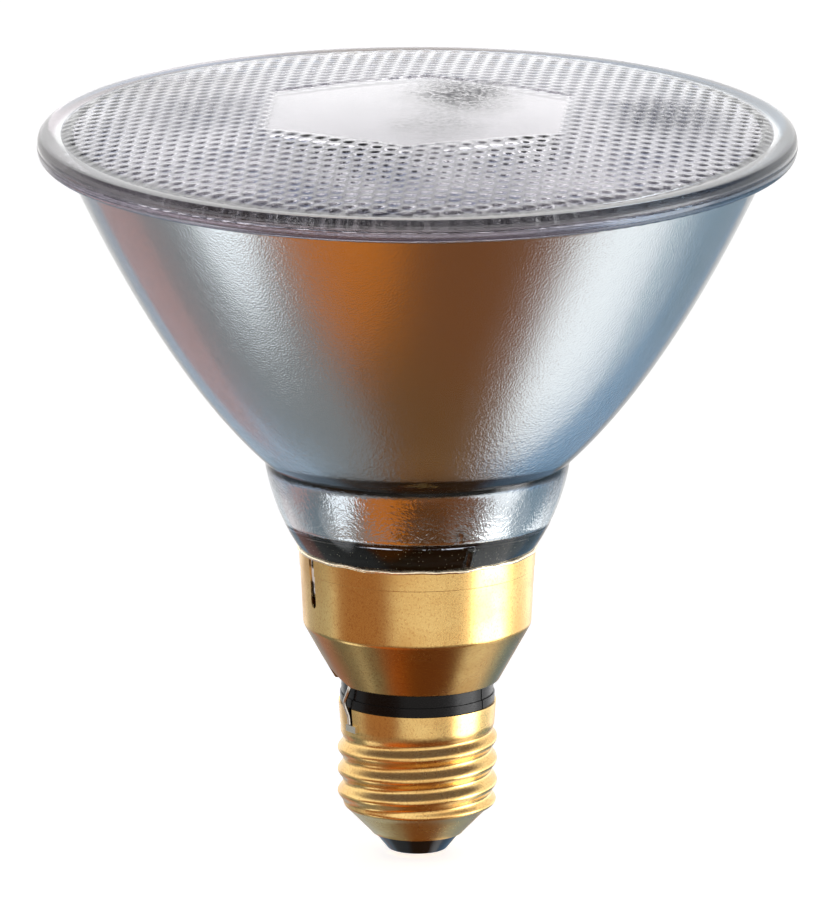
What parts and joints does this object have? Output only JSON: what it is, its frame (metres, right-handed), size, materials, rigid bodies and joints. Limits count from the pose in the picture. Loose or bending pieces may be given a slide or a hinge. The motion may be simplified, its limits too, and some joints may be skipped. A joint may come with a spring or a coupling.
{
  "type": "reflector spotlight bulb",
  "caption": "Pressed-glass reflector spotlight bulb with a stippled lens, mirrored bowl, clear glass heel and a skirted brass screw cap.",
  "frame": {"origin": "tip of the centre contact, on the bulb's axis", "axes": "+Z along the bulb's axis from the screw cap towards the lens; -Y towards the pictured side"},
  "size_m": [0.124, 0.124, 0.1253],
  "materials": {
    "clear_glass": "clear, fire polished",
    "mirror_film": "vacuum-laid aluminium film",
    "brass": "drawn brass, slightly aged",
    "black_moulding": "glossy black moulding",
    "black_glass": "opaque black glass insulator",
    "cement": "buff capping cement",
    "nickel_plate": "dull nickel",
    "tungsten": "drawn tungsten",
    "tinned_wire": "tinned copper",
    "solder": "soft solder"
  },
  "bodies": {
    "root": {"lens": "clear_glass", "reflector": "clear_glass", "exhaust_tube": "clear_glass", "support_bead": "clear_glass", "mirror_coating": "mirror_film", "skirt": "brass", "screw_shell": "brass", "centre_contact": "brass", "insulating_ring": "black_moulding", "base_insulator": "black_glass", "base_cement": "cement", "ferrule_left": "nickel_plate", "ferrule_right": "nickel_plate", "lead_post_left": "nickel_plate", "lead_post_right": "nickel_plate", "filament_support": "nickel_plate", "filament": "tungsten", "side_lead": "tinned_wire", "centre_lead": "tinned_wire", "side_solder": "solder", "centre_solder": "solder"}
  },
  "joints": []
}
